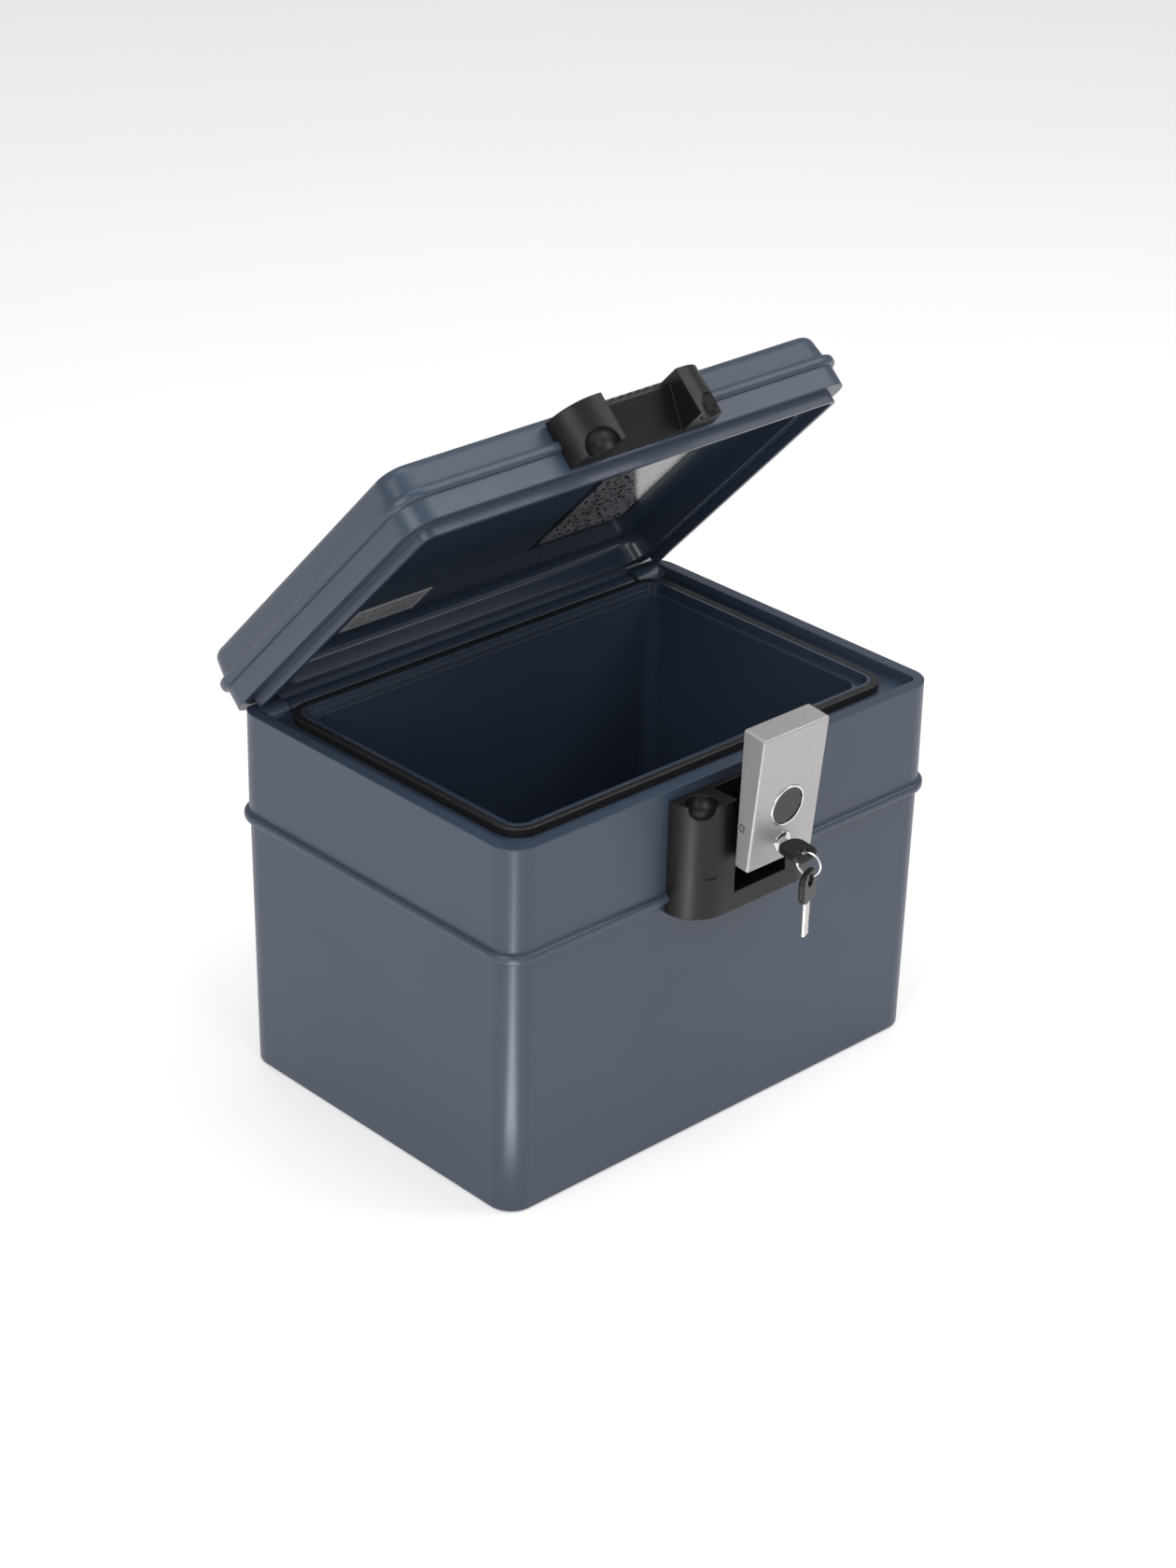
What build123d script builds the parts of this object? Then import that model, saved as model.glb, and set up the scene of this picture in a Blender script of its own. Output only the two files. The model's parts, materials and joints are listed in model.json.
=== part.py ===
"""A fireproof document chest: an insulated box, a hinged insulated lid and a swing-out lock.

The origin is the centre of the underside. +X is to the right, +Y to the hinges, +Z up.
The lid and the lock are drawn shut and then turned to the open pose that they rest in.
"""
from build123d import *
from math import cos, radians, sin, sqrt
import os

os.makedirs("parts", exist_ok=True)

# Chest body
chest_width = 406.0
chest_depth = 290.0
base_height = 284.0
corner_radius = 20.0
skin = 3.0
base_draft = 2.0
lower_inset = 0.8
foot_fillet = 3.0
bead_height = 8.0
bead_proud = 3.6
bead_level = 81.5
bead_edge = 3.2
fill_gap = 0.3

# Rim, measured inwards from the outer face and down from the rim's top
rim_width = 9.5
rim_inner_corner = 6.0
recess_depth = 8.0
gasket_offset = 23.0
gasket_width = 5.5
gasket_gap = 0.3
gasket_fillet = 1.2
lip_width = 3.0
lip_drop = 1.5
ledge_width = 7.5
ledge_drop = 7.0

# Inside of the chest
liner_thickness = 3.0
floor_height = 38.0
liner_corner = 14.0
liner_fillet = 8.0
liner_draft = 1.5
least_corner = 4.0

# Lid
lid_height = 44.0
lid_gap = 0.4
lid_draft = 3.0
lid_top_fillet = 7.0
lid_bead_level = 20.0
tongue_offset = 10.5
tongue_width = 4.0
tongue_drop = 7.6
dish_depth = 18.0
dish_offset = 29.5
dish_lean = 2.5
dish_fillet = 8.0
lid_open = 46.5

# Hinge
hinge_inset = 9.0
hinge_drop = 12.0
knuckle_length = 34.0
barrel_radius = 9.0
barrel_end_gap = 0.5
seat_gap = 3.5
knuckle_gap = 1.0
hinge_pin_radius = 2.5
hinge_pin_length = 50.0
pin_end_gap = 1.0
pin_clearance = 0.06

# Handle mouldings
handle_depth = 28.0
handle_corner = 27.0
handle_half = 62.5
handle_height = 86.0
handle_drop = 8.0
handle_fillet = 1.5
pocket_half = 25.0
pocket_sill = 15.0
pocket_back = 4.0
bowl_radius = 11.5
bowl_x = 47.0
bowl_front = 15.5
bowl_collar = 1.2
button_x = 45.0
button_width = 8.0
button_height = 12.0
button_level = 37.0
button_depth = 1.0
button_corner = 1.2
lid_handle_half = 66.5
lid_handle_depth = 28.0
lid_handle_corner = 26.0
lid_handle_foot = 2.2
lid_handle_top = 37.8
boss_gap_half = 34.5
scoop_radius = 12.5
scoop_x = 51.0
scoop_back = 4.0
scoop_rise = 2.0
grip_foot_depth = 3.0
grip_edge = 2.0
grip_top_depth = 15.0
grip_top_drop = 4.0
rib_count = 7
rib_pitch = 8.1
rib_width = 3.2
rib_height = 2.4
rib_taper = 20.0
strike_front = 1.5
strike_length = 8.0
strike_depth = 5.0
screw_radius = 2.0
screw_head_radius = 4.0
screw_head_height = 3.0
screw_length = 14.0
screw_clearance = 0.2
handle_screw_inset = 4.0
handle_screw_rise = 8.0
handle_screw_drop = 38.0
lid_screw_rise = 22.0

# Lock
latch_open = 6.1
pivot_depth = 15.0
pivot_drop = 48.0
pivot_radius = 2.5
pivot_seat = 9.0
pivot_end_gap = 1.0
arm_half = 22.0
arm_hub_radius = 8.0
arm_rise = 3.0
arm_height = 28.0
arm_shelf = 4.0
lock_width = 62.0
lock_drop = 52.5
lock_height = 104.0
lock_front = 46.0
lock_bottom_depth = 11.5
lock_top_depth = 19.5
lock_wall = 2.0
lock_fillet = 1.6
plate_thickness = 2.0
plate_gap = 0.2
cylinder_rise = 15.5
cylinder_radius = 7.5
cylinder_proud = 0.6
cylinder_gap = 0.1
cylinder_fillet = 0.4
plug_radius = 4.5
plug_length = 23.5
plug_clearance = 0.05
cylinder_length = 9.0
cam_length = 8.0
cam_half = 2.0
foot_rise = 5.3
cam_thickness = 1.4
sensor_rise = 44.0
sensor_radius = 15.5
sensor_ring_width = 1.5
sensor_proud = 0.7
sensor_sink = 0.2
sensor_ring_fillet = 0.5
sensor_module_depth = 5.0
board_half_width = 13.0
board_half_height = 12.0
board_thickness = 1.2
cell_radius = 5.25
cell_length = 44.5
cell_x = 22.0
cell_rise = 54.5
cell_gap = 0.4
side_screw_rise = 31.3
side_screw_radius = 3.2
side_screw_shank = 1.4
side_screw_length = 6.0
side_screw_head = 1.8
side_screw_gap = 0.05
side_screw_slot = 0.7
side_screw_slot_depth = 0.8
side_screw_inset = 3.8
lug_size = 8.0
tine_half = 1.6
bolt_thickness = 1.7
bolt_stem_half = 4.0
bolt_nose_height = 2.4
bolt_foot_height = 2.5
bolt_lip = 5.0
bolt_lip_length = 2.5
bolt_lift = 6.0
bolt_clearance = 0.5

# Keys
blade_thickness = 1.8
blade_width = 7.0
neck = 3.0
blade_notch = 1.2
blade_end = 3.0
keyway_gap = 0.1
blade_tip_gap = 0.5
plug_proud = 0.3
notch_count = 4
notch_pitch = 3.4
key_head_length = 24.0
key_head_width = 22.0
key_head_thickness = 4.5
key_head_corner = 8.0
key_head_fillet = 1.4
key_hole_radius = 4.6
key_bridge = 2.6
ring_radius = 8.6
ring_wire = 0.8
ring_turn = 20.0
ring_slack = 0.6

# Labels inside the lid
label_thickness = 0.3
small_label_width = 68.0
small_label_depth = 32.0
small_label_x = -89.0
small_label_y = 78.0
large_label_width = 93.0
large_label_depth = 123.0
large_label_x = 77.5
large_label_y = -6.5

# Places worked out from the sizes above
half_width = chest_width / 2
half_depth = chest_depth / 2
seam = base_height + lid_gap
hinge_y = half_depth - hinge_inset
hinge_z = base_height - hinge_drop
barrel_half = half_width - knuckle_length - barrel_end_gap
seat_bottom = hinge_z - barrel_radius - seat_gap
seat_front = hinge_y - barrel_radius - 1
recess_floor = base_height - recess_depth
bead_centre = base_height - bead_level
lip_offset = gasket_offset + gasket_width
ledge_offset = lip_offset + lip_width
mouth_offset = ledge_offset + ledge_width
liner_top = base_height - lip_drop
liner_face = liner_top + lid_gap
gasket_top = liner_face - gasket_gap
pivot_y = -half_depth - pivot_depth
pivot_height = base_height - pivot_drop
lock_face = -half_depth - lock_front
lock_bottom = base_height - lock_drop
lock_top = lock_bottom + lock_height
cylinder_height = lock_bottom + cylinder_rise
sensor_height = lock_bottom + sensor_rise
side_screw_height = lock_bottom + side_screw_rise
cell_bottom = lock_bottom + cell_rise
grip_top = seam + lid_handle_top - grip_top_drop
tine_x = rib_pitch / 2
bolt_half = tine_x + tine_half
strike_y = -half_depth - grip_top_depth + strike_front
handle_front = -half_depth - handle_depth
handle_top = base_height - handle_drop
handle_bottom = handle_top - handle_height
sill_top = handle_bottom + pocket_sill

hinge_axis = Axis((0, hinge_y, hinge_z), (1, 0, 0))
pivot_axis = Axis((0, pivot_y, pivot_height), (1, 0, 0))


def lock_back(height):
    """Y of the lock case's sloping back at a height, with the lock shut."""
    share = (height - lock_bottom) / lock_height
    return lock_face + lock_bottom_depth + share * (lock_top_depth - lock_bottom_depth)


def prism(offset, bottom, top, corner=None):
    """A rounded block whose sides lie a distance inside the chest's outer faces."""
    if corner is None:
        corner = max(corner_radius - offset, least_corner)
    with BuildPart() as rounded:
        with BuildSketch(Plane.XY.offset(bottom)):
            RectangleRounded(chest_width - 2 * offset, chest_depth - 2 * offset, corner)
        extrude(amount=top - bottom)
    return rounded.part


def tapered(low_offset, low, high_offset, high, corner):
    """A rounded block whose sides lean from one distance inside the faces to another."""
    with BuildPart() as leaning:
        for offset, height in ((low_offset, low), (high_offset, high)):
            with BuildSketch(Plane.XY.offset(height)):
                RectangleRounded(chest_width - 2 * offset, chest_depth - 2 * offset, corner)
        loft(ruled=True)
    return leaning.part


def bead(level, offset):
    """The half-round moulding that runs all round the chest or the lid."""
    with BuildPart() as ring:
        with BuildSketch(Plane.XY.offset(level - bead_height / 2)):
            RectangleRounded(
                chest_width + 2 * bead_proud, chest_depth + 2 * bead_proud, corner_radius + bead_proud
            )
            RectangleRounded(
                chest_width - 2 * offset - 2,
                chest_depth - 2 * offset - 2,
                corner_radius - offset,
                mode=Mode.SUBTRACT,
            )
        extrude(amount=bead_height)
        outer = ring.faces().filter_by(Axis.Z)
        rims = [edge for face in outer for edge in face.outer_wire().edges()]
        fillet(rims, bead_edge)
    return ring.part


def rod(start, end, radius):
    """A round bar along X from one end to the other, at the given Y and Z."""
    with BuildPart() as bar:
        with BuildSketch(Plane((start[0], start[1], start[2]), x_dir=(0, 1, 0), z_dir=(1, 0, 0))):
            Circle(radius)
        extrude(amount=end - start[0])
    return bar.part


def block(x_span, y_span, z_span):
    """A plain block between two X, two Y and two Z values."""
    with BuildPart() as cuboid:
        with BuildSketch(Plane.XY.offset(z_span[0])):
            with Locations(((x_span[0] + x_span[1]) / 2, (y_span[0] + y_span[1]) / 2)):
                Rectangle(x_span[1] - x_span[0], y_span[1] - y_span[0])
        extrude(amount=z_span[1] - z_span[0])
    return cuboid.part


def handle_block(half, depth, bottom, top, corner):
    """A moulding on the front face, with its two front corners rounded."""
    back = -half_depth
    front = back - depth
    with BuildPart() as moulding:
        with BuildSketch(Plane.XY.offset(bottom)):
            with BuildLine():
                left = Line((-half, back), (half, back))
                right = Line(left @ 1, (half, front + corner))
                turn = RadiusArc(right @ 1, (half - corner, front), corner)
                face = Line(turn @ 1, (corner - half, front))
                turn_back = RadiusArc(face @ 1, (-half, front + corner), corner)
                Line(turn_back @ 1, left @ 0)
            make_face()
        extrude(amount=top - bottom)
    return moulding.part


def save(piece, label, axis=None, angle=0.0):
    """Turn a finished piece to the pose it rests in, name it and write it."""
    if axis is not None:
        piece.part = piece.part.rotate(axis, angle)
    piece.part.label = label
    export_step(piece.part, f"parts/{label}.step")


# Handle screws pass through the shell's front skin from inside
handle_screw_x = handle_half - handle_corner + handle_screw_inset
handle_screw_z = (sill_top + handle_screw_rise, handle_top - handle_screw_drop)
screw_inner_face = -half_depth + skin


def screw(x, z, inner_face, extra):
    """A headed screw through the front wall, its head inside and its shank forwards."""
    with BuildPart() as fastener:
        with BuildSketch(Plane((x, inner_face, z), x_dir=(1, 0, 0), z_dir=(0, 1, 0))):
            Circle(screw_head_radius + extra)
        extrude(amount=screw_head_height + extra)
        with BuildSketch(Plane((x, inner_face, z), x_dir=(1, 0, 0), z_dir=(0, -1, 0))):
            Circle(screw_radius + extra)
        extrude(amount=screw_length + extra)
    return fastener.part


def screws(places, inner_face, extra=0.0):
    """All the screws of one moulding, or with extra the holes that clear them."""
    with BuildPart() as group:
        for x, z in places:
            add(screw(x, z, inner_face, extra))
    return group.part


base_screw_places = [(side * handle_screw_x, z) for side in (-1, 1) for z in handle_screw_z]
base_screw_holes = screws(base_screw_places, screw_inner_face + fill_gap, screw_clearance)
with BuildPart() as handle_screws:
    add(screws(base_screw_places, screw_inner_face + fill_gap))

# Base shell: the outer skin, its rim and the two hinge knuckles
knuckle_radius = hinge_drop
outer_lower = tapered(
    base_draft + lower_inset, 0, lower_inset, bead_centre, corner_radius - lower_inset
)
outer_upper = prism(0, bead_centre, base_height)
flange_bottom = recess_floor - skin
seat_floor = seat_bottom - skin
void_top = prism(skin, bead_centre, flange_bottom)
lower_skin = lower_inset + skin
lower_corner = corner_radius - lower_skin
void_low = tapered(base_draft + lower_skin, skin, lower_skin, bead_centre, lower_corner)
seat_walls = block((-half_width, half_width), (seat_front - skin, half_depth), (seat_floor, base_height))
rear_top = block((-half_width, half_width), (hinge_y, half_depth + 1), (hinge_z, base_height + 1))
knuckle_round = rod((-half_width, hinge_y, hinge_z), half_width, knuckle_radius)
base_handle_block = handle_block(
    handle_half, handle_depth, handle_bottom, handle_top, handle_corner
)

with BuildPart() as base_shell:
    add(outer_lower)
    fillet(base_shell.faces().sort_by(Axis.Z)[0].edges(), foot_fillet)
    add(outer_upper)
    add(bead(bead_centre, lower_inset))
    add(prism(rim_width, recess_floor, base_height + 1, rim_inner_corner), mode=Mode.SUBTRACT)
    add(void_low - seat_walls, mode=Mode.SUBTRACT)
    add(void_top - seat_walls, mode=Mode.SUBTRACT)
    add(prism(lip_offset, flange_bottom - 1, recess_floor + 1), mode=Mode.SUBTRACT)
    for side in (-1, 1):
        near = side * (half_width - knuckle_length)
        far = side * (half_width - 1)
        span = (min(near, far), max(near, far))
        add(rod((span[0], hinge_y, hinge_z), span[1], knuckle_radius) & outer_upper)
        add(block(span, (hinge_y - knuckle_radius, half_depth), (seat_floor, hinge_z)) & outer_upper)
    add(rear_top - knuckle_round, mode=Mode.SUBTRACT)
    middle = half_width - knuckle_length
    add(
        block((-middle, middle), (seat_front, half_depth + 1), (seat_bottom, base_height + 1)),
        mode=Mode.SUBTRACT,
    )
    for side in (-1, 1):
        start = middle - 1 if side > 0 else -middle - hinge_pin_length / 2
        stop = start + hinge_pin_length / 2 + 1
        pin_hole = rod((start, hinge_y, hinge_z), stop, hinge_pin_radius + pin_clearance)
        add(pin_hole, mode=Mode.SUBTRACT)
    add(base_handle_block, mode=Mode.SUBTRACT)
    add(base_screw_holes, mode=Mode.SUBTRACT)

with BuildPart() as base_handle:
    add(base_handle_block)
    bottom_edges = base_handle.edges().filter_by(Axis.Z, reverse=True).group_by(Axis.Z)[0]
    fillet(bottom_edges.group_by(Axis.Y)[0:-1], handle_fillet)
    pocket = block(
        (-pocket_half, pocket_half),
        (handle_front - 1, -half_depth - pocket_back),
        (sill_top, handle_top + 1),
    )
    add(pocket, mode=Mode.SUBTRACT)
    inner_block = handle_block(
        handle_half - button_depth,
        handle_depth - button_depth,
        handle_bottom,
        handle_top,
        handle_corner - button_depth,
    )
    for side in (-1, 1):
        bowl_y = -half_depth - bowl_front
        with BuildSketch(Plane.XY.offset(handle_top)):
            with Locations((side * bowl_x, bowl_y)):
                Circle(bowl_radius)
        extrude(amount=-bowl_collar, mode=Mode.SUBTRACT)
        with Locations((side * bowl_x, bowl_y, handle_top - bowl_collar)):
            Sphere(bowl_radius, mode=Mode.SUBTRACT)
        with BuildPart() as window:
            window_place = (side * button_x, handle_front - 1, handle_bottom + button_level)
            with BuildSketch(Plane(window_place, x_dir=(1, 0, 0), z_dir=(0, 1, 0))):
                RectangleRounded(button_width, button_height, button_corner)
            extrude(amount=handle_corner)
        add(window.part - inner_block, mode=Mode.SUBTRACT)
    ear_end = pocket_half + pivot_seat
    ear_hole = rod((-ear_end, pivot_y, pivot_height), ear_end, pivot_radius + pin_clearance)
    add(ear_hole, mode=Mode.SUBTRACT)
    add(base_screw_holes, mode=Mode.SUBTRACT)

with BuildPart() as latch_pivot_pin:
    pin_end = ear_end - pivot_end_gap
    add(rod((-pin_end, pivot_y, pivot_height), pin_end, pivot_radius))

# Inner liner: the lip inside the gasket, a ledge, four walls and a floor
ledge_top = base_height - ledge_drop
ledge_bottom = ledge_top - liner_thickness
wall_outside = mouth_offset - liner_thickness

with BuildPart() as inner_liner:
    add(prism(lip_offset, ledge_bottom, liner_top, liner_corner))
    floor_outside = floor_height - liner_thickness
    add(tapered(wall_outside + liner_draft, floor_outside, wall_outside, ledge_bottom, liner_corner))
    add(prism(ledge_offset, ledge_top, liner_top + 1, liner_corner - lip_width), mode=Mode.SUBTRACT)
    with BuildPart() as cavity_block:
        add(
            tapered(
                mouth_offset + liner_draft,
                floor_height,
                mouth_offset,
                ledge_top + 1,
                liner_corner - liner_thickness,
            )
        )
        fillet(cavity_block.faces().sort_by(Axis.Z)[0].edges(), liner_fillet)
    add(cavity_block.part, mode=Mode.SUBTRACT)

# Base insulation fills the space between the shell and the liner
with BuildPart() as base_insulation:
    inset = lower_skin + fill_gap
    add(tapered(base_draft + inset, skin + fill_gap, inset, bead_centre, lower_corner))
    add(prism(inset, bead_centre, flange_bottom - fill_gap))
    grown_seat = block(
        (-half_width, half_width),
        (seat_front - skin - fill_gap, half_depth),
        (seat_floor - fill_gap, base_height),
    )
    add(grown_seat, mode=Mode.SUBTRACT)
    knuckle_room = block(
        (-half_width, half_width),
        (hinge_y - knuckle_radius - fill_gap, half_depth),
        (seat_floor - fill_gap, base_height),
    )
    add(knuckle_room, mode=Mode.SUBTRACT)
    liner_room = tapered(
        wall_outside + liner_draft - fill_gap,
        floor_height - liner_thickness - fill_gap,
        wall_outside - fill_gap,
        base_height,
        liner_corner,
    )
    add(liner_room, mode=Mode.SUBTRACT)
    add(
        prism(lip_offset - fill_gap, ledge_bottom - fill_gap, base_height, liner_corner),
        mode=Mode.SUBTRACT,
    )
    add(base_screw_holes, mode=Mode.SUBTRACT)

with BuildPart() as rim_gasket:
    add(prism(gasket_offset, recess_floor, gasket_top, liner_corner + gasket_width))
    add(prism(lip_offset, recess_floor - 1, gasket_top + 1, liner_corner), mode=Mode.SUBTRACT)
    fillet(rim_gasket.faces().sort_by(Axis.Z)[-1].edges(), gasket_fillet)

save(base_handle, "base_handle")
save(base_shell, "base_shell")
save(handle_screws, "base_handle_screws")
save(latch_pivot_pin, "latch_pivot_pin")
save(inner_liner, "inner_liner")
save(base_insulation, "base_insulation")
save(rim_gasket, "rim_gasket")

for side, word in ((-1, "left"), (1, "right")):
    start = side * middle - hinge_pin_length / 2
    if side < 0:
        start += pin_end_gap
    with BuildPart() as hinge_pin:
        stop = start + hinge_pin_length - pin_end_gap
        add(rod((start, hinge_y, hinge_z), stop, hinge_pin_radius))
    save(hinge_pin, f"hinge_pin_{word}")

# Lid shell, drawn shut
lid_top = base_height + lid_height
lid_middle = base_height + lid_bead_level
inner_flange = tongue_offset + tongue_width
lid_wall_bottom = seam + skin

lid_handle_bottom = seam + lid_handle_foot
lid_handle_height = seam + lid_handle_top
lid_handle_front = -half_depth - lid_handle_depth
lid_screw_x = lid_handle_half - lid_handle_corner + handle_screw_inset
lid_screw_places = [(side * lid_screw_x, lid_handle_bottom + lid_screw_rise) for side in (-1, 1)]
lid_screw_face = -half_depth + skin + fill_gap
lid_screw_holes = screws(lid_screw_places, lid_screw_face, screw_clearance)
lid_handle_block = handle_block(
    lid_handle_half, lid_handle_depth, lid_handle_bottom, lid_handle_height, lid_handle_corner
)

with BuildPart() as lid_shell:
    add(prism(0, seam, lid_middle))
    add(tapered(lower_inset, lid_middle, lid_draft, lid_top, corner_radius - lower_inset))
    fillet(lid_shell.faces().sort_by(Axis.Z)[-1].edges(), lid_top_fillet)
    add(bead(lid_middle, lower_inset))
    add(prism(skin, lid_wall_bottom, lid_middle), mode=Mode.SUBTRACT)
    lid_void = tapered(lower_skin, lid_middle, lid_draft + skin, lid_top - skin, lower_corner)
    add(lid_void, mode=Mode.SUBTRACT)
    add(prism(inner_flange, seam - 1, lid_wall_bottom + 1), mode=Mode.SUBTRACT)
    tongue_bottom = seam - tongue_drop
    tongue = prism(tongue_offset, tongue_bottom, seam) - prism(inner_flange, tongue_bottom - 1, seam + 1)
    knuckle_clear = block(
        (-half_width, half_width),
        (hinge_y - knuckle_radius - knuckle_gap, half_depth),
        (tongue_bottom - 1, seam),
    )
    add(tongue - knuckle_clear)
    web_front = half_depth - inner_flange
    add(block((-barrel_half, barrel_half), (web_front, half_depth), (hinge_z, lid_wall_bottom)))
    add(rod((-barrel_half, hinge_y, hinge_z), barrel_half, barrel_radius))
    pin_depth = hinge_pin_length / 2
    for side in (-1, 1):
        start = barrel_half - pin_depth if side > 0 else -barrel_half - 1
        add(
            rod((start, hinge_y, hinge_z), start + pin_depth + 1, hinge_pin_radius + pin_clearance),
            mode=Mode.SUBTRACT,
        )
    add(lid_handle_block, mode=Mode.SUBTRACT)
    add(lid_screw_holes, mode=Mode.SUBTRACT)

# Lid handle: two bosses, a sloping grip plate between them and ribs along its top
with BuildPart() as lid_handle:
    add(lid_handle_block)
    gap = block(
        (-boss_gap_half, boss_gap_half),
        (lid_handle_front - 1, -half_depth),
        (lid_handle_bottom - 1, lid_handle_height + 1),
    )
    add(gap, mode=Mode.SUBTRACT)
    with BuildSketch(Plane((-boss_gap_half, 0, 0), x_dir=(0, 1, 0), z_dir=(1, 0, 0))):
        with BuildLine():
            Polyline(
                (-half_depth, lid_handle_bottom),
                (-half_depth - grip_foot_depth, lid_handle_bottom),
                (-half_depth - grip_top_depth, grip_top - grip_edge),
                (-half_depth - grip_top_depth, grip_top),
                (-half_depth, grip_top),
                close=True,
            )
        make_face()
    extrude(amount=2 * boss_gap_half)
    with BuildSketch(Plane.XY.offset(grip_top)):
        with Locations((0, -half_depth - grip_top_depth / 2)):
            with GridLocations(rib_pitch, 0, rib_count, 1):
                Rectangle(rib_width, grip_top_depth)
    extrude(amount=rib_height, taper=rib_taper)
    for side in (-1, 1):
        pocket_centre = side * tine_x
        strike = block(
            (pocket_centre - tine_half - bolt_clearance, pocket_centre + tine_half + bolt_clearance),
            (strike_y, strike_y + strike_length),
            (grip_top - strike_depth, lid_handle_height),
        )
        add(strike, mode=Mode.SUBTRACT)
        scoop_place = (side * scoop_x, lid_handle_front + scoop_back, lid_handle_bottom + scoop_rise)
        with Locations(scoop_place):
            Sphere(scoop_radius, mode=Mode.SUBTRACT)
    add(lid_screw_holes, mode=Mode.SUBTRACT)

with BuildPart() as lid_handle_screws:
    add(screws(lid_screw_places, lid_screw_face))

# Lid liner: a flange over the gasket and a dish above the mouth
dish_top = liner_face + dish_depth
liner_edge = inner_flange + fill_gap
dish_outer = dish_offset - liner_thickness

with BuildPart() as lid_liner:
    add(prism(liner_edge, liner_face, liner_face + liner_thickness, liner_corner))
    with BuildPart() as dish_outside:
        add(
            tapered(
                dish_outer,
                liner_face,
                dish_outer + dish_lean,
                dish_top + liner_thickness,
                liner_corner,
            )
        )
        fillet(dish_outside.faces().sort_by(Axis.Z)[-1].edges(), dish_fillet)
    add(dish_outside.part)
    with BuildPart() as dish_inside:
        add(tapered(dish_offset, liner_face - 1, dish_offset + dish_lean, dish_top, liner_corner))
        fillet(dish_inside.faces().sort_by(Axis.Z)[-1].edges(), dish_fillet)
    add(dish_inside.part, mode=Mode.SUBTRACT)
    pin_room = block(
        (-half_width, half_width),
        (hinge_y - knuckle_radius - knuckle_gap, half_depth),
        (liner_face - 1, seam),
    )
    add(pin_room, mode=Mode.SUBTRACT)

with BuildPart() as lid_insulation:
    add(prism(skin + fill_gap, lid_wall_bottom + fill_gap, lid_middle))
    lid_fill = tapered(
        lower_skin + fill_gap,
        lid_middle,
        lid_draft + skin + fill_gap,
        lid_top - skin - fill_gap,
        lower_corner,
    )
    add(lid_fill)
    add(
        tapered(
            dish_outer - fill_gap,
            seam - 1,
            dish_outer + dish_lean - fill_gap,
            dish_top + liner_thickness + fill_gap,
            liner_corner,
        ),
        mode=Mode.SUBTRACT,
    )
    add(lid_screw_holes, mode=Mode.SUBTRACT)



def label_sheet(x, y, width, depth):
    """A thin label on the dish's floor, centred on a point."""
    return block(
        (x - width / 2, x + width / 2),
        (y - depth / 2, y + depth / 2),
        (dish_top - label_thickness, dish_top),
    )


with BuildPart() as small_label:
    add(label_sheet(small_label_x, small_label_y, small_label_width, small_label_depth))
with BuildPart() as large_label:
    add(label_sheet(large_label_x, large_label_y, large_label_width, large_label_depth))

lid_pieces = (
    (lid_shell, "lid_shell"),
    (lid_handle, "lid_handle"),
    (lid_handle_screws, "lid_handle_screws"),
    (lid_liner, "lid_liner"),
    (lid_insulation, "lid_insulation"),
    (small_label, "lid_label_small"),
    (large_label, "lid_label_large"),
)
for piece, label in lid_pieces:
    save(piece, label, hinge_axis, -lid_open)

# Lock case, drawn shut: a wedge that is deeper at the top, open at the back
lock_half = lock_width / 2
inner_half = lock_half - lock_wall
inner_bottom = lock_bottom + lock_wall
inner_top = lock_top - lock_wall
cylinder_back = lock_face + cylinder_length
cam_back = cylinder_back + cam_thickness
pad_radius = sensor_radius - sensor_ring_width
side_screw_y = lock_back(side_screw_height) - side_screw_inset


def side_profile(points, half):
    """A solid with an outline of Y and Z points, reaching as far to the left as to the right."""
    with BuildPart() as slab:
        with BuildSketch(Plane((-half, 0, 0), x_dir=(0, 1, 0), z_dir=(1, 0, 0))):
            with BuildLine():
                Polyline(*points, close=True)
            make_face()
        extrude(amount=2 * half)
    return slab.part


def front_disc(height, radius, front, back):
    """A round piece that looks forwards, centred on the lock."""
    with BuildPart() as disc:
        with BuildSketch(Plane((0, back, height), x_dir=(1, 0, 0), z_dir=(0, -1, 0))):
            Circle(radius)
        extrude(amount=back - front)
    return disc.part


def screw_plane(side):
    """The plane on one side of the lock case, at its screw, that looks inwards."""
    return Plane(
        (side * lock_half, side_screw_y, side_screw_height), x_dir=(0, 1, 0), z_dir=(-side, 0, 0)
    )


def side_screw(side, extra=0.0):
    """A countersunk screw in one side of the lock case."""
    with BuildPart() as fastener:
        flush = screw_plane(side)
        with BuildSketch(flush):
            Circle(side_screw_radius + extra)
        with BuildSketch(flush.offset(side_screw_head)):
            Circle(side_screw_shank + extra)
        loft(ruled=True)
        with BuildSketch(flush):
            Circle(side_screw_shank + extra)
        extrude(amount=side_screw_length + extra)
    return fastener.part


side_screw_holes = side_screw(-1, side_screw_gap) + side_screw(1, side_screw_gap)

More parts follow.
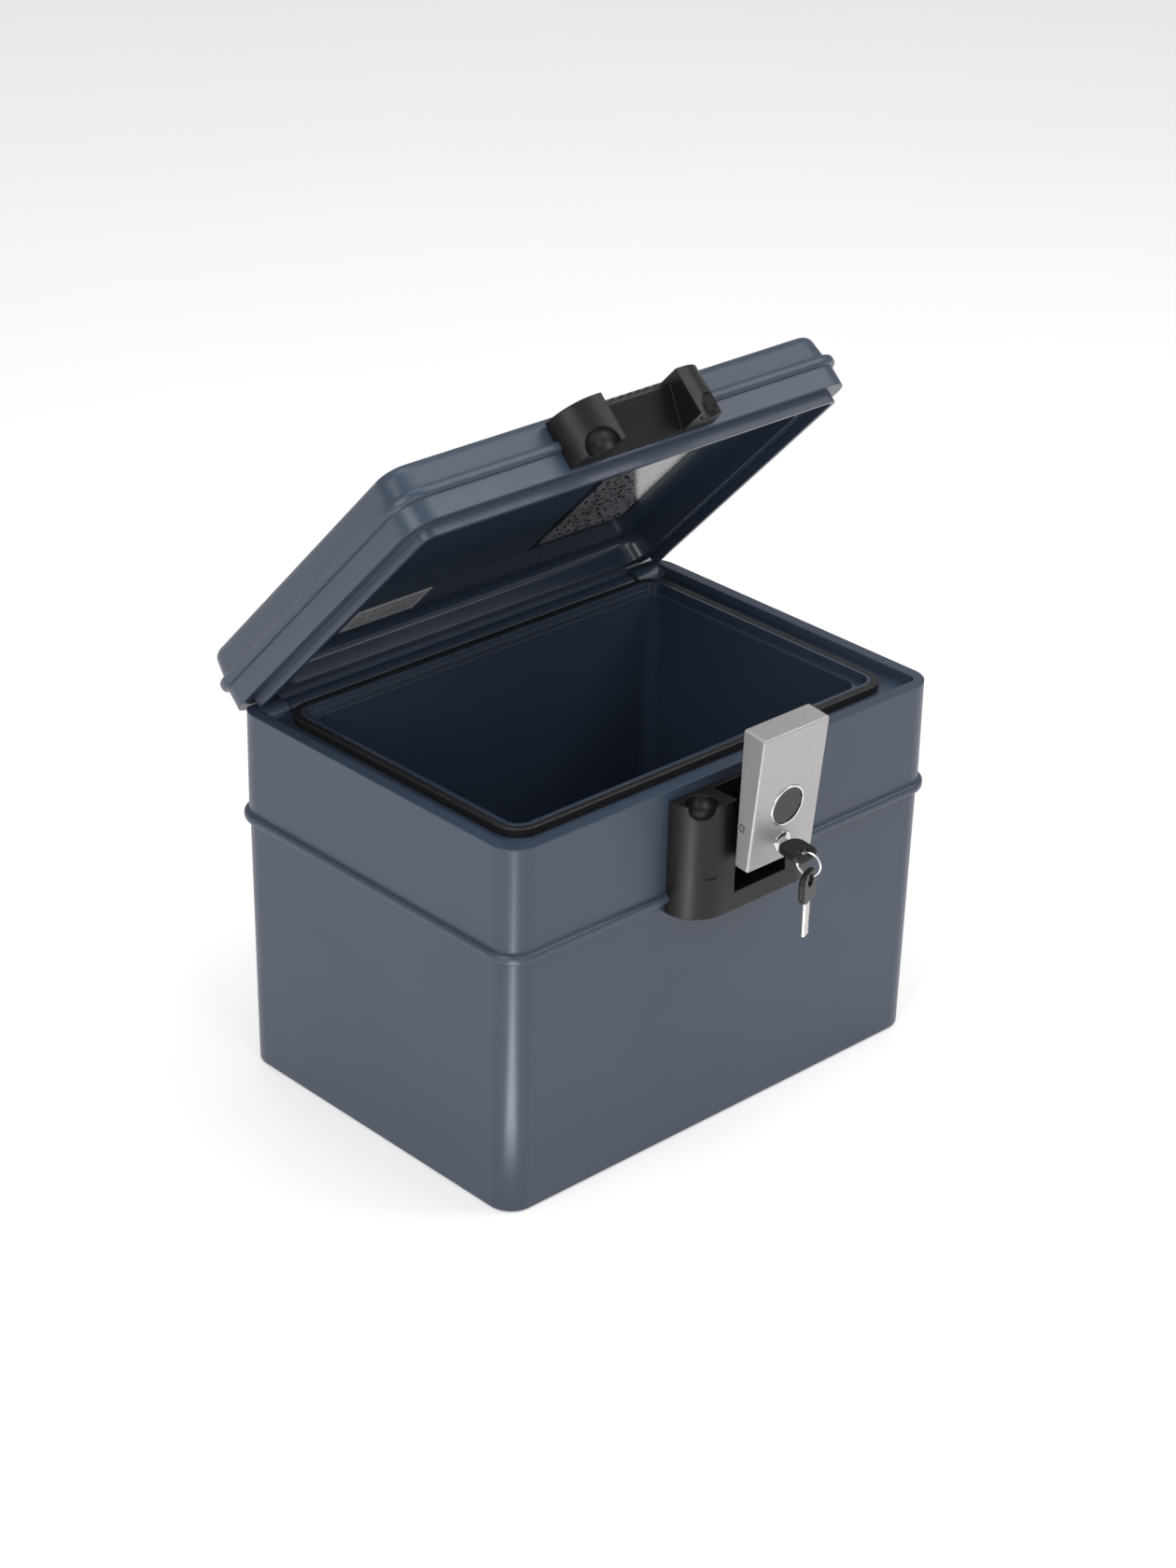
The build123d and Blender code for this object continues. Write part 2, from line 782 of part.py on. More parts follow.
with BuildPart() as lock_case:
    outline = (
        (lock_face, lock_bottom),
        (lock_face, lock_top),
        (lock_back(lock_top), lock_top),
        (lock_back(lock_bottom), lock_bottom),
    )
    add(side_profile(outline, lock_half))
    front_edges = lock_case.faces().sort_by(Axis.Y)[0].edges()
    side_edges = lock_case.edges().filter_by(Axis.Y)
    fillet(front_edges + side_edges, lock_fillet)
    inside = (
        (lock_face + lock_wall, inner_bottom),
        (lock_face + lock_wall, inner_top),
        (lock_back(inner_top) + 1, inner_top),
        (lock_back(inner_bottom) + 1, inner_bottom),
    )
    add(side_profile(inside, inner_half), mode=Mode.SUBTRACT)
    wall_span = (lock_face - 1, lock_face + lock_wall + 1)
    add(front_disc(sensor_height, sensor_radius, *wall_span), mode=Mode.SUBTRACT)
    add(front_disc(cylinder_height, cylinder_radius + cylinder_gap, *wall_span), mode=Mode.SUBTRACT)
    add(side_screw_holes, mode=Mode.SUBTRACT)

# Locking bolt: two tines that reach over the grip between its ribs, each with a lip that drops into
# a pocket, and a stem down to the cam
nose_bottom = grip_top + bolt_clearance
nose_top = nose_bottom + bolt_nose_height
lip_back = strike_y + bolt_clearance + bolt_lip_length
foot_bottom = cylinder_height + foot_rise
stem_back = cylinder_back + bolt_thickness

with BuildPart() as lock_bolt:
    add(block((-bolt_half, bolt_half), (cylinder_back, lock_back(nose_bottom)), (nose_bottom, nose_top)))
    for side in (-1, 1):
        tine = (side * tine_x - tine_half, side * tine_x + tine_half)
        add(block(tine, (cylinder_back, lip_back), (nose_bottom, nose_top)))
        add(block(tine, (lip_back - bolt_lip_length, lip_back), (nose_bottom - bolt_lip, nose_bottom)))
    add(block((-bolt_stem_half, bolt_stem_half), (cylinder_back, stem_back), (foot_bottom, nose_bottom)))
    foot_span = (foot_bottom, foot_bottom + bolt_foot_height)
    add(block((-bolt_stem_half, cam_length + 1), (cylinder_back, stem_back), foot_span))

with BuildPart() as lock_back_plate:
    low = inner_bottom + plate_gap
    high = inner_top - plate_gap
    plate = (
        (lock_back(low) - plate_thickness, low),
        (lock_back(high) - plate_thickness, high),
        (lock_back(high), high),
        (lock_back(low), low),
    )
    add(side_profile(plate, inner_half - plate_gap))
    for side in (-1, 1):
        outer = side * (inner_half - plate_gap)
        inner = side * (inner_half - plate_gap - lug_size / 2)
        add(
            block(
                (min(outer, inner), max(outer, inner)),
                (side_screw_y - side_screw_shank - 2, lock_back(side_screw_height) - plate_thickness / 2),
                (side_screw_height - lug_size / 2, side_screw_height + lug_size / 2),
            )
        )
    nose_slot = block(
        (-bolt_half - bolt_clearance, bolt_half + bolt_clearance),
        (cylinder_back + 1, 0),
        (nose_bottom - bolt_clearance, nose_top + bolt_lift + bolt_clearance),
    )
    add(nose_slot, mode=Mode.SUBTRACT)
    add(front_disc(cylinder_height, plug_radius + bolt_clearance, lock_face, 0), mode=Mode.SUBTRACT)
    add(side_screw_holes, mode=Mode.SUBTRACT)

with BuildPart() as latch_arm:
    arm_low = lock_bottom + arm_rise
    arm_high = arm_low + arm_height
    arm = (
        (lock_back(arm_low), arm_low),
        (lock_back(arm_high), arm_high),
        (lock_back(arm_high) + arm_shelf, arm_high),
        (pivot_y + arm_hub_radius * 0.6, pivot_height + arm_hub_radius * 0.8),
        (pivot_y, pivot_height - arm_hub_radius),
    )
    add(side_profile(arm, arm_half))
    add(rod((-arm_half, pivot_y, pivot_height), arm_half, arm_hub_radius))
    add(
        rod((-arm_half - 1, pivot_y, pivot_height), arm_half + 1, pivot_radius + pin_clearance),
        mode=Mode.SUBTRACT,
    )
    add(
        front_disc(cylinder_height, plug_radius + bolt_clearance, lock_face, lock_face + plug_length + 1),
        mode=Mode.SUBTRACT,
    )

with BuildPart() as lock_case_screws:
    add(side_screw(-1))
    add(side_screw(1))
    for side in (-1, 1):
        with BuildSketch(screw_plane(side)):
            Rectangle(side_screw_slot, side_screw_radius)
            Rectangle(side_screw_radius, side_screw_slot)
        extrude(amount=side_screw_slot_depth, mode=Mode.SUBTRACT)

with BuildPart() as sensor_ring:
    add(front_disc(sensor_height, sensor_radius, lock_face - sensor_proud, lock_face + lock_wall))
    fillet(sensor_ring.edges().filter_by(GeomType.CIRCLE).sort_by(Axis.Y)[0], sensor_ring_fillet)
    ring_hole = (lock_face - 2, lock_face + lock_wall + 1)
    add(front_disc(sensor_height, pad_radius, *ring_hole), mode=Mode.SUBTRACT)

module_back = lock_face + sensor_module_depth
with BuildPart() as sensor_pad:
    add(front_disc(sensor_height, pad_radius, lock_face + sensor_sink, module_back))

with BuildPart() as sensor_board:
    add(
        block(
            (-board_half_width, board_half_width),
            (module_back, module_back + board_thickness),
            (sensor_height - board_half_height, sensor_height + board_half_height),
        )
    )

with BuildPart() as cylinder_body:
    body_back = cylinder_back - cylinder_gap
    add(front_disc(cylinder_height, cylinder_radius, lock_face - cylinder_proud, body_back))
    fillet(cylinder_body.edges().filter_by(GeomType.CIRCLE).sort_by(Axis.Y)[0], cylinder_fillet)
    add(
        front_disc(cylinder_height, plug_radius + plug_clearance, lock_face - 2, cylinder_back + 1),
        mode=Mode.SUBTRACT,
    )

# Key and plug: the blade lies flat in the plug, the head stands out in front
blade_tip = lock_face + plug_length - blade_tip_gap
head_back = lock_face - neck
blade_drop = blade_tip - head_back

with BuildPart() as lock_plug:
    add(front_disc(cylinder_height, plug_radius, lock_face - plug_proud, lock_face + plug_length))
    add(
        block(
            (0, cam_length),
            (cylinder_back, cam_back),
            (cylinder_height - cam_half, cylinder_height + cam_half),
        )
    )
    keyway_half = blade_width / 2 + keyway_gap
    keyway_rise = blade_thickness / 2 + keyway_gap
    keyway = block(
        (-keyway_half, keyway_half),
        (lock_face - 1, blade_tip + keyway_gap),
        (cylinder_height - keyway_rise, cylinder_height + keyway_rise),
    )
    add(keyway, mode=Mode.SUBTRACT)


def key_parts(plane):
    """A key's blade and head on a plane at the shoulder: Y runs to the blade's tip, Z through the head."""
    with BuildPart() as blade:
        with BuildSketch(plane.offset(-blade_thickness / 2)):
            with Locations((0, blade_drop / 2)):
                Rectangle(blade_width, blade_drop)
        extrude(amount=blade_thickness)
        with BuildSketch(plane.offset(-blade_thickness / 2)):
            for step in range(notch_count):
                with Locations((blade_width / 2, blade_drop - blade_end - step * notch_pitch)):
                    RegularPolygon(blade_notch, 4)
        extrude(amount=blade_thickness, mode=Mode.SUBTRACT)
    with BuildPart() as head:
        with BuildSketch(plane.offset(-key_head_thickness / 2)):
            with Locations((0, -key_head_length / 2)):
                RectangleRounded(key_head_width, key_head_length, key_head_corner)
        extrude(amount=key_head_thickness)
        broad_faces = head.faces().filter_by(Axis((0, 0, 0), plane.z_dir))
        fillet(broad_faces.edges(), key_head_fillet)
        with BuildSketch(plane.offset(-key_head_thickness)):
            with Locations((0, key_bridge + key_hole_radius - key_head_length)):
                Circle(key_hole_radius)
        extrude(amount=2 * key_head_thickness, mode=Mode.SUBTRACT)
    return blade, head


lock_key_plane = Plane((0, head_back, cylinder_height), x_dir=(-1, 0, 0), z_dir=(0, 0, -1))
key_blade, key_head = key_parts(lock_key_plane)

battery_cells = []
for side in (-1, 1):
    with BuildPart() as cell:
        with BuildSketch(Plane.XY.offset(cell_bottom)):
            with Locations((side * cell_x, lock_face + lock_wall + cell_radius + cell_gap)):
                Circle(cell_radius)
        extrude(amount=cell_length)
    battery_cells.append(cell)

lock_pieces = (
    (lock_case, "lock_case"),
    (lock_back_plate, "lock_back_plate"),
    (latch_arm, "latch_arm"),
    (lock_case_screws, "lock_case_screws"),
    (sensor_ring, "sensor_ring"),
    (sensor_pad, "sensor_pad"),
    (sensor_board, "sensor_board"),
    (cylinder_body, "lock_cylinder"),
    (battery_cells[0], "battery_cell_left"),
    (battery_cells[1], "battery_cell_right"),
    (lock_bolt, "lock_bolt"),
    (lock_plug, "lock_plug"),
    (key_blade, "key_blade"),
    (key_head, "key_head"),
)
for piece, label in lock_pieces:
    save(piece, label, pivot_axis, latch_open)

# Key ring and spare key hang plumb from the tilted key's head
tilt = radians(latch_open)
reach = head_back - key_head_length + key_bridge / 2 - pivot_y
rise = cylinder_height - pivot_height
bridge_y = pivot_y + reach * cos(tilt) - rise * sin(tilt)
bridge_z = pivot_height + rise * cos(tilt) + reach * sin(tilt)
inner_ring = ring_radius - ring_wire
ring_drop = sqrt(inner_ring**2 - (key_bridge / 2) ** 2) - ring_slack - key_head_thickness / 2
ring_z = bridge_z - ring_drop
turn = radians(ring_turn)
ring_normal = (-cos(turn), -sin(turn), 0)
ring_along = (-sin(turn), cos(turn), 0)

with BuildPart() as key_ring:
    with Locations(Location(Plane((0, bridge_y, ring_z), x_dir=ring_along, z_dir=ring_normal))):
        Torus(ring_radius, ring_wire)
save(key_ring, "key_ring")

wire_z = ring_z - ring_radius
shoulder_z = wire_z + ring_wire + ring_slack + key_bridge - key_head_length
spare_plane = Plane((0, bridge_y, shoulder_z), x_dir=(cos(turn), sin(turn), 0), z_dir=ring_along)
spare_blade, spare_head = key_parts(spare_plane)
save(spare_blade, "spare_key_blade")
save(spare_head, "spare_key_head")
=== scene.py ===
"""Looks of a fireproof document chest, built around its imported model.

The chest stands on a pale studio floor with its lid open. The moulded shell, liner, handles and
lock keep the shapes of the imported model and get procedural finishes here. The wire key ring is
replaced by a split ring, worked out as a tube along a coil.
"""
import json
from math import cos, pi, radians, sin

import bpy
import numpy as np
from mathutils import Matrix, Vector

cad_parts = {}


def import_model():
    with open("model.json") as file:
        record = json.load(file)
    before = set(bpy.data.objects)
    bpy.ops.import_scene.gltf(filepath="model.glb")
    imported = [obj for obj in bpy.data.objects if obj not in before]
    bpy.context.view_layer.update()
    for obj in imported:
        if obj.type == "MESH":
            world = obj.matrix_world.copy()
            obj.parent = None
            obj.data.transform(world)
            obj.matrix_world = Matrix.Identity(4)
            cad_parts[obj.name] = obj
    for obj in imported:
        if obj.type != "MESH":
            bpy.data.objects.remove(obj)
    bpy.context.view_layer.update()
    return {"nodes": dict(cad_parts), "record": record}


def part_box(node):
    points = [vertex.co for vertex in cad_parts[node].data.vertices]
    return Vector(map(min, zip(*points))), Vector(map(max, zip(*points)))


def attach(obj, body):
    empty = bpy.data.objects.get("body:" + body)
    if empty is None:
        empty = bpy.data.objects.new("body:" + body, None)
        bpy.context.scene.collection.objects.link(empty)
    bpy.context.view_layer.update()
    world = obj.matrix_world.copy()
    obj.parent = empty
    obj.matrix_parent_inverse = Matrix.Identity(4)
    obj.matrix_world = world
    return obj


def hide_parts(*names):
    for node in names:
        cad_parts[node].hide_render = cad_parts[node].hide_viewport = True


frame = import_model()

scene = bpy.context.scene
nodes = frame["nodes"]

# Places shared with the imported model, in metres
LID_OPEN = radians(46.5)
RING_CENTRE = np.array([0.0, -0.217547866, 0.236071641])
RING_TURN = radians(20.0)
RING_RADIUS = 0.0086
RING_WIRE = 0.0008
RING_TURNS = 2.0
RING_SAMPLES = 192
RING_START = radians(60)
STEP_START = 0.44
STEP_LENGTH = 0.12
WIRE_HALF_ACROSS = 0.85
WIRE_HALF_ALONG = 0.49

# Shared by the effects: rounded-edge samples and the colour of settled dust
EDGE_SAMPLES = 6
DUST_COLOUR = (0.42, 0.41, 0.40, 1.0)

# The studio, in metres, degrees and watts
FLOOR_HALF = 12.0
FLOOR_GLOW = 0.35
WORLD_STRENGTH = 0.38
VIEW_AZIMUTH = radians(-43.58)
VIEW_ELEVATION = radians(27.305)
VIEW_ROLL = radians(1.325)
VIEW_PLACE = (-1.57714, -1.65770, 1.39287)
VIEW_LENS = 82.70
VIEW_SENSOR = 36.0
CHEST_AIM = (0, 0, 0.2)
LID_AIM = (0, 0, 0.5)
STRIP_PLACE = (-0.42, -0.37, 0.004)
STRIP_AIM = (-0.42, -0.37, 1.0)
STRIP_TURN = radians(-43.6)


# Shader building
def put(tree, kind, inputs=None, **settings):
    """Adds one shader node. A value that is a socket is linked, and any other value is set."""
    made = tree.nodes.new(kind)
    for name, value in settings.items():
        setattr(made, name, value)
    for key, value in (inputs or {}).items():
        target = made.inputs[key]
        if isinstance(value, bpy.types.NodeSocket):
            tree.links.new(value, target)
        else:
            target.default_value = value
    return made


def calc(tree, operation, first, second=0.0, clamp=False):
    """One arithmetic step, and its result."""
    made = put(tree, "ShaderNodeMath", {0: first, 1: second}, operation=operation)
    made.use_clamp = clamp
    return made.outputs[0]


def span(tree, value, low, high, to_low=0.0, to_high=1.0):
    """A value carried from one range to another and kept inside it."""
    made = put(
        tree,
        "ShaderNodeMapRange",
        {"Value": value, "From Min": low, "From Max": high, "To Min": to_low, "To Max": to_high},
    )
    return made.outputs[0]


def blend_colour(tree, share, first, second, mode="MIX"):
    """Two colours mixed by a share from 0 to 1."""
    made = put(tree, "ShaderNodeMix", data_type="RGBA", blend_type=mode)
    for socket, value in ((0, share), (6, first), (7, second)):
        if isinstance(value, bpy.types.NodeSocket):
            tree.links.new(value, made.inputs[socket])
        else:
            made.inputs[socket].default_value = value
    return made.outputs[2]


def noise(tree, vector, scale, detail=2.0, roughness=0.5):
    """Smooth noise between 0 and 1."""
    made = put(
        tree,
        "ShaderNodeTexNoise",
        {"Vector": vector, "Scale": scale, "Detail": detail, "Roughness": roughness},
    )
    return made.outputs[0]


def new_group(name, inputs, outputs):
    """An empty node group with named sockets. Returns its tree, its input node and its output node."""
    tree = bpy.data.node_groups.new(name, "ShaderNodeTree")
    kinds = {"colour": "NodeSocketColor", "value": "NodeSocketFloat", "vector": "NodeSocketVector"}
    for label, kind, default in inputs:
        made = tree.interface.new_socket(label, in_out="INPUT", socket_type=kinds[kind])
        if default is not None:
            made.default_value = default
    for label, kind in outputs:
        tree.interface.new_socket(label, in_out="OUTPUT", socket_type=kinds[kind])
    return tree, tree.nodes.new("NodeGroupInput"), tree.nodes.new("NodeGroupOutput")


def grey(level):
    """A neutral colour."""
    return (level, level, level, 1.0)


# Shared effects
def build_moulded():
    """Moulded plastic: faint cloudiness, a fine spark-eroded grain, soft wide waves and edges painted
    paler as a painted highlight.
    """
    tree, start, end = new_group(
        "moulded_plastic",
        [
            ("Base", "colour", grey(0.5)),
            ("Edge", "colour", grey(0.6)),
            ("Roughness", "value", 0.4),
            ("Grain Scale", "value", 900.0),
            ("Grain Depth", "value", 0.00004),
            ("Wave Depth", "value", 0.0003),
            ("Edge Radius", "value", 0.001),
            ("Edge Amount", "value", 0.5),
        ],
        [("Color", "colour"), ("Roughness", "value"), ("Normal", "vector")],
    )
    given = start.outputs
    place = put(tree, "ShaderNodeTexCoord").outputs["Object"]
    cloud = noise(tree, place, 7.0, 4.0)
    smear = noise(tree, place, 26.0, 3.0)
    grain = noise(tree, place, given["Grain Scale"], 1.0)
    wave = noise(tree, place, 5.0, 1.0)

    bevel = put(tree, "ShaderNodeBevel", {"Radius": given["Edge Radius"]}, samples=EDGE_SAMPLES)
    rounded = bevel.outputs[0]
    flat = put(tree, "ShaderNodeNewGeometry").outputs["Normal"]
    facing = put(tree, "ShaderNodeVectorMath", {0: rounded, 1: flat}, operation="DOT_PRODUCT")
    turned = facing.outputs["Value"]
    # Edges are painted towards the Edge colour: a painted highlight, broken up by noise
    edge = span(tree, turned, 0.995, 0.86)
    edge_highlight = calc(tree, "MULTIPLY", edge, span(tree, smear, 0.35, 0.65, 0.35, 1.0))
    edge_highlight = calc(tree, "MULTIPLY", edge_highlight, given["Edge Amount"])

    shade = span(tree, cloud, 0.3, 0.7, 0.95, 1.05)
    scaled = put(tree, "ShaderNodeVectorMath", {0: given["Base"], "Scale": shade}, operation="SCALE")
    mottled = scaled.outputs[0]
    colour = blend_colour(tree, edge_highlight, mottled, given["Edge"])

    rough = calc(tree, "MULTIPLY", given["Roughness"], span(tree, smear, 0.3, 0.7, 0.93, 1.09))
    waved = put(
        tree,
        "ShaderNodeBump",
        {"Height": wave, "Distance": given["Wave Depth"], "Normal": rounded},
    ).outputs[0]
    grained = put(
        tree,
        "ShaderNodeBump",
        {"Height": grain, "Distance": given["Grain Depth"], "Normal": waved},
    ).outputs[0]
    tree.links.new(colour, end.inputs["Color"])
    tree.links.new(rough, end.inputs["Roughness"])
    tree.links.new(grained, end.inputs["Normal"])
    return tree


def build_metal():
    """Metal: long fine strokes along one axis, tiny flakes, faint smears and bright edges."""
    tree, start, end = new_group(
        "worked_metal",
        [
            ("Base", "colour", grey(0.6)),
            ("Roughness", "value", 0.3),
            ("Stroke Scale", "vector", (40.0, 40.0, 2600.0)),
            ("Stroke Depth", "value", 0.00001),
            ("Flake", "value", 0.1),
            ("Edge Radius", "value", 0.0004),
        ],
        [("Color", "colour"), ("Roughness", "value"), ("Normal", "vector")],
    )
    given = start.outputs
    place = put(tree, "ShaderNodeTexCoord").outputs["Object"]
    stretch = put(tree, "ShaderNodeVectorMath", {0: place, 1: given["Stroke Scale"]}, operation="MULTIPLY")
    stroke = noise(tree, stretch.outputs[0], 1.0, 3.0)
    flake = put(tree, "ShaderNodeTexVoronoi", {"Vector": place, "Scale": 2600.0}).outputs["Color"]
    flake = put(tree, "ShaderNodeSeparateColor", {0: flake}).outputs[0]
    smear = noise(tree, place, 60.0, 3.0)
    shade = calc(tree, "MULTIPLY_ADD", flake, given["Flake"])
    shade.node.inputs[2].default_value = 1.0
    shade = calc(tree, "SUBTRACT", shade, calc(tree, "MULTIPLY", given["Flake"], 0.5))
    shade = calc(tree, "MULTIPLY", shade, span(tree, stroke, 0.3, 0.7, 0.97, 1.03))
    scaled = put(tree, "ShaderNodeVectorMath", {0: given["Base"], "Scale": shade}, operation="SCALE")
    colour = scaled.outputs[0]
    rough = calc(tree, "MULTIPLY", given["Roughness"], span(tree, smear, 0.3, 0.7, 0.9, 1.12))
    bevel = put(tree, "ShaderNodeBevel", {"Radius": given["Edge Radius"]}, samples=EDGE_SAMPLES)
    rounded = bevel.outputs[0]
    marked = put(
        tree,
        "ShaderNodeBump",
        {"Height": stroke, "Distance": given["Stroke Depth"], "Normal": rounded},
    ).outputs[0]
    tree.links.new(colour, end.inputs["Color"])
    tree.links.new(rough, end.inputs["Roughness"])
    tree.links.new(marked, end.inputs["Normal"])
    return tree


def build_dust():
    """Specks of pale lint, thicker on faces that look up. Gives their share of the surface."""
    tree, start, end = new_group(
        "settled_dust",
        [("Amount", "value", 0.2), ("Scale", "value", 700.0)],
        [("Mask", "value")],
    )
    given = start.outputs
    place = put(tree, "ShaderNodeTexCoord").outputs["Object"]
    speck = noise(tree, place, given["Scale"], 2.0, 0.7)
    patch = noise(tree, place, 30.0, 2.0)
    normal = put(tree, "ShaderNodeNewGeometry").outputs["Normal"]
    upward = put(tree, "ShaderNodeSeparateXYZ", {0: normal}).outputs[2]
    mask = calc(tree, "MULTIPLY", span(tree, speck, 0.62, 0.72), span(tree, patch, 0.4, 0.65))
    mask = calc(tree, "MULTIPLY", mask, span(tree, upward, 0.0, 0.8, 0.25, 1.0))
    mask = calc(tree, "MULTIPLY", mask, given["Amount"])
    tree.links.new(mask, end.inputs["Mask"])
    return tree


def build_print():
    """Rows of short dashes that stand for small print: rows across, broken by noise, ragged at the end."""
    tree, start, end = new_group(
        "printed_rows",
        [
            ("Vector", "vector", (0.0, 0.0, 0.0)),
            ("Rows", "value", 400.0),
            ("Fill", "value", 0.5),
            ("Words", "value", 500.0),
        ],
        [("Mask", "value")],
    )
    given = start.outputs
    parts = put(tree, "ShaderNodeSeparateXYZ", {0: given["Vector"]}).outputs
    across, down = parts[0], calc(tree, "MULTIPLY", parts[1], given["Rows"])
    row = calc(tree, "FLOOR", down)
    inside = calc(tree, "LESS_THAN", calc(tree, "FRACT", down), given["Fill"])
    word_place = put(
        tree,
        "ShaderNodeCombineXYZ",
        {0: calc(tree, "MULTIPLY", across, given["Words"]), 1: calc(tree, "MULTIPLY", row, 7.31)},
    ).outputs[0]
    words = calc(tree, "GREATER_THAN", noise(tree, word_place, 1.0, 1.0), 0.40)
    mask = calc(tree, "MULTIPLY", inside, words)
    tree.links.new(mask, end.inputs["Mask"])
    return tree


MOULDED = build_moulded()
METAL = build_metal()
DUST = build_dust()
PRINT = build_print()


def use_group(tree, group, inputs):
    """One shared effect placed in a material with its own values."""
    made = tree.nodes.new("ShaderNodeGroup")
    made.node_tree = group
    for key, value in inputs.items():
        if isinstance(value, bpy.types.NodeSocket):
            tree.links.new(value, made.inputs[key])
        else:
            made.inputs[key].default_value = value
    return made.outputs


def new_material(name):
    """An empty material. Returns it, its tree and its Principled BSDF."""
    material = bpy.data.materials.new(name)
    material.use_nodes = True
    tree = material.node_tree
    return material, tree, tree.nodes["Principled BSDF"]


def connect(tree, shader, outputs):
    """Feeds a group's colour, roughness and normal to a shader."""
    tree.links.new(outputs["Color"], shader.inputs["Base Color"])
    tree.links.new(outputs["Roughness"], shader.inputs["Roughness"])
    tree.links.new(outputs["Normal"], shader.inputs["Normal"])


def plastic(
    name,
    base,
    edge,
    roughness,
    grain=(900.0, 0.00004),
    wave=0.0003,
    radius=0.001,
    edges=0.4,
    dust=0.0,
    specular=0.5,
):
    """A moulded plastic or rubber finish."""
    material, tree, shader = new_material(name)
    outputs = use_group(
        tree,
        MOULDED,
        {
            "Base": (*base, 1.0),
            "Edge": (*edge, 1.0),
            "Roughness": roughness,
            "Grain Scale": grain[0],
            "Grain Depth": grain[1],
            "Wave Depth": wave,
            "Edge Radius": radius,
            "Edge Amount": edges,
        },
    )
    connect(tree, shader, outputs)
    if dust:
        mask = use_group(tree, DUST, {"Amount": dust})["Mask"]
        dusty = blend_colour(tree, mask, outputs["Color"], DUST_COLOUR)
        tree.links.new(dusty, shader.inputs["Base Color"])
    shader.inputs["Specular IOR Level"].default_value = specular
    return material


def metal(
    name,
    base,
    roughness,
    metallic=1.0,
    stroke=(40.0, 40.0, 2600.0),
    depth=0.00001,
    flake=0.1,
    radius=0.0004,
):
    """A metal finish."""
    material, tree, shader = new_material(name)
    outputs = use_group(
        tree,
        METAL,
        {
            "Base": (*base, 1.0),
            "Roughness": roughness,
            "Stroke Scale": stroke,
            "Stroke Depth": depth,
            "Flake": flake,
            "Edge Radius": radius,
        },
    )
    connect(tree, shader, outputs)
    shader.inputs["Metallic"].default_value = metallic
    return material


def label(name, paper, ink, turn, centre, rows, fill, words, margin, roughness):
    """Printed paper: dashes inside a margin, drawn in the label's own plane."""
    material, tree, shader = new_material(name)
    place = put(tree, "ShaderNodeTexCoord").outputs["Object"]
    centred = put(tree, "ShaderNodeVectorMath", {0: place, 1: centre}, operation="SUBTRACT").outputs[0]
    level = put(tree, "ShaderNodeMapping", {"Vector": centred, "Rotation": (turn, 0.0, 0.0)}).outputs[0]
    mask = use_group(tree, PRINT, {"Vector": level, "Rows": rows, "Fill": fill, "Words": words})["Mask"]
    parts = put(tree, "ShaderNodeSeparateXYZ", {0: level}).outputs
    for axis, half in enumerate(margin):
        inside = calc(tree, "LESS_THAN", calc(tree, "ABSOLUTE", parts[axis]), half)
        mask = calc(tree, "MULTIPLY", mask, inside)
    fibre = noise(tree, place, 1500.0, 2.0)
    sheet = blend_colour(tree, span(tree, fibre, 0.3, 0.7, 0.0, 0.25), (*paper, 1.0), grey(0.5 * paper[0]))
    colour = blend_colour(tree, calc(tree, "MULTIPLY", mask, 0.85), sheet, (*ink, 1.0))
    bump = put(tree, "ShaderNodeBump", {"Height": fibre, "Distance": 0.00001}).outputs[0]
    rough = span(tree, fibre, 0.3, 0.7, roughness * 0.9, roughness * 1.1)
    tree.links.new(colour, shader.inputs["Base Color"])
    tree.links.new(bump, shader.inputs["Normal"])
    tree.links.new(rough, shader.inputs["Roughness"])
    return material


